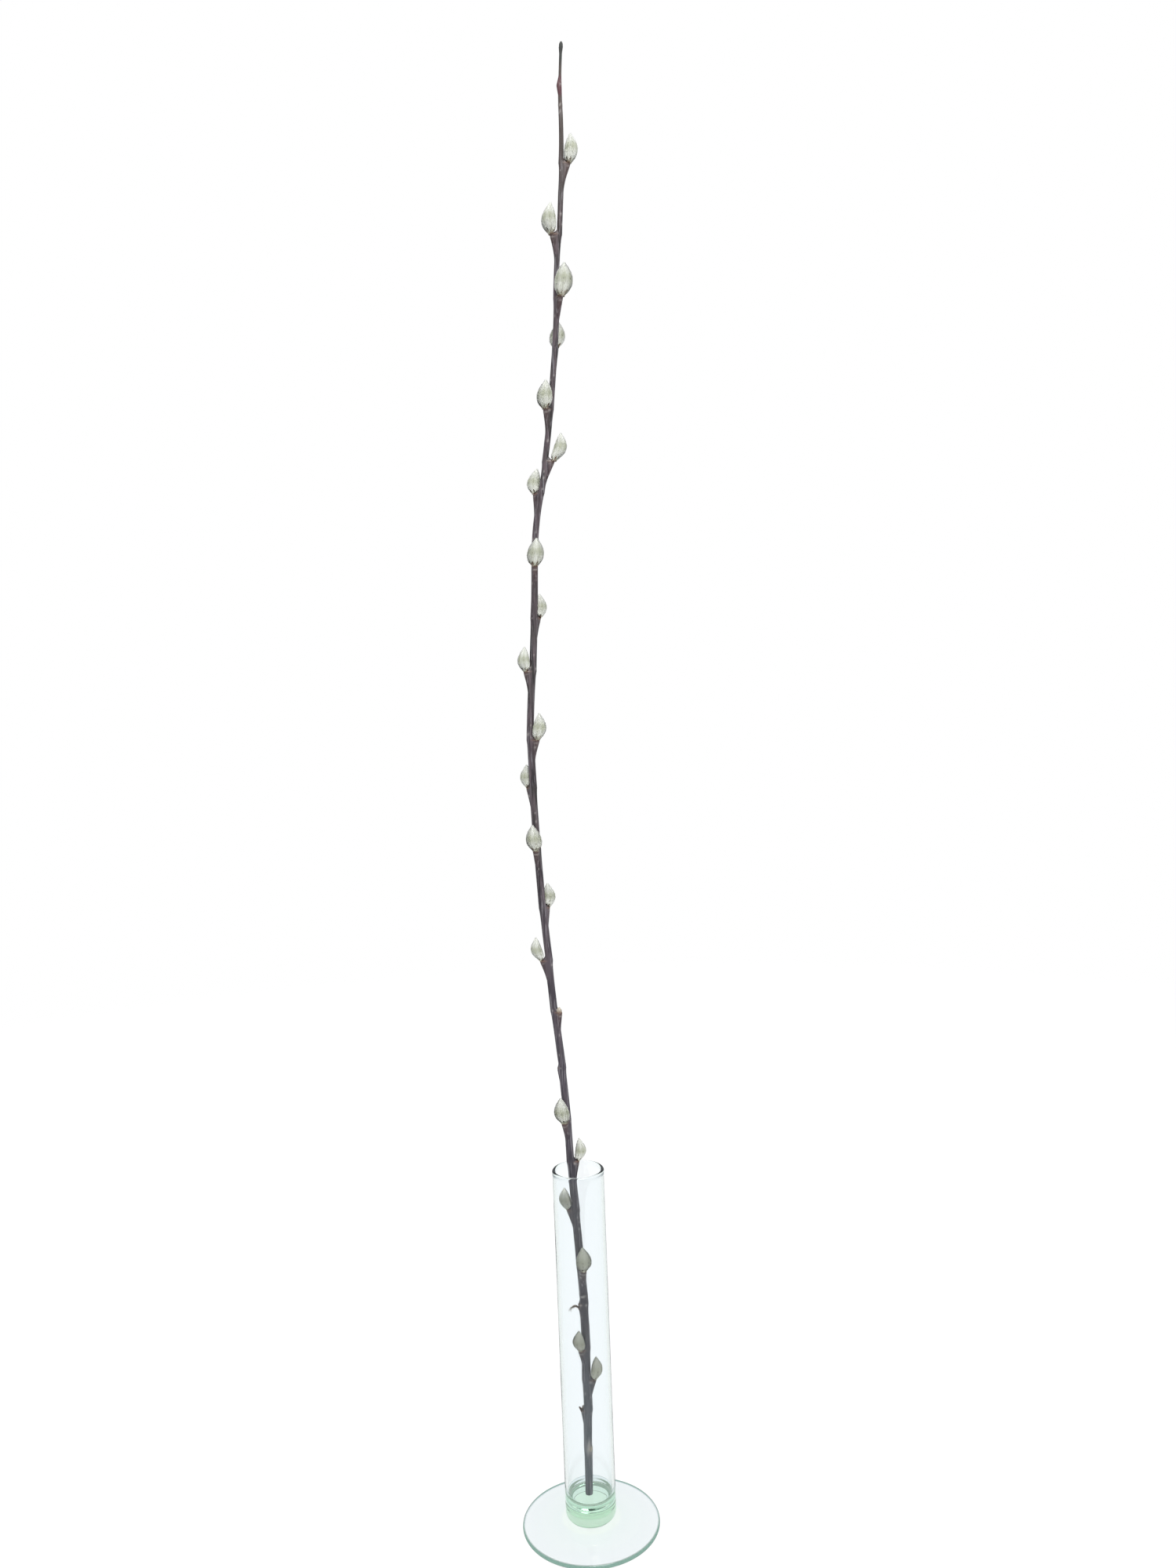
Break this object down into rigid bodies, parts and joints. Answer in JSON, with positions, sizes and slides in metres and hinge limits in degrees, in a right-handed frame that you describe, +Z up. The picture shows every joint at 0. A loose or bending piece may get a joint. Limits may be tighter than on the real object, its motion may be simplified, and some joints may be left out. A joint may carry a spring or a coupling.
{
  "type": "willow stem in a vase",
  "caption": "Long slim pussy willow twig set with silky silver catkins, standing in a tall narrow tube vase of pale green glass on a round foot.",
  "frame": {"origin": "centre of the foot's flat underside, on the surface that the vase stands on", "axes": "+Z runs up the tube, -Y is the side seen in the picture, +X is to its right"},
  "size_m": [0.068, 0.068, 0.7058],
  "materials": {
    "vase_glass": "clear pale green glass, fire-polished lip",
    "willow_bark": "smooth dark purple-brown bark with a soft sheen",
    "catkin_fur": "silky silver-grey hairs"
  },
  "bodies": {
    "root": {"vase": "vase_glass", "stem": "willow_bark", "catkin_01": "catkin_fur", "catkin_02": "catkin_fur", "catkin_03": "catkin_fur", "catkin_04": "catkin_fur", "catkin_05": "catkin_fur", "catkin_06": "catkin_fur", "catkin_07": "catkin_fur", "catkin_08": "catkin_fur", "catkin_09": "catkin_fur", "catkin_10": "catkin_fur", "catkin_11": "catkin_fur", "catkin_12": "catkin_fur", "catkin_13": "catkin_fur", "catkin_14": "catkin_fur", "catkin_15": "catkin_fur", "catkin_16": "catkin_fur", "catkin_17": "catkin_fur", "catkin_18": "catkin_fur", "catkin_19": "catkin_fur", "catkin_20": "catkin_fur", "catkin_21": "catkin_fur"}
  },
  "joints": []
}
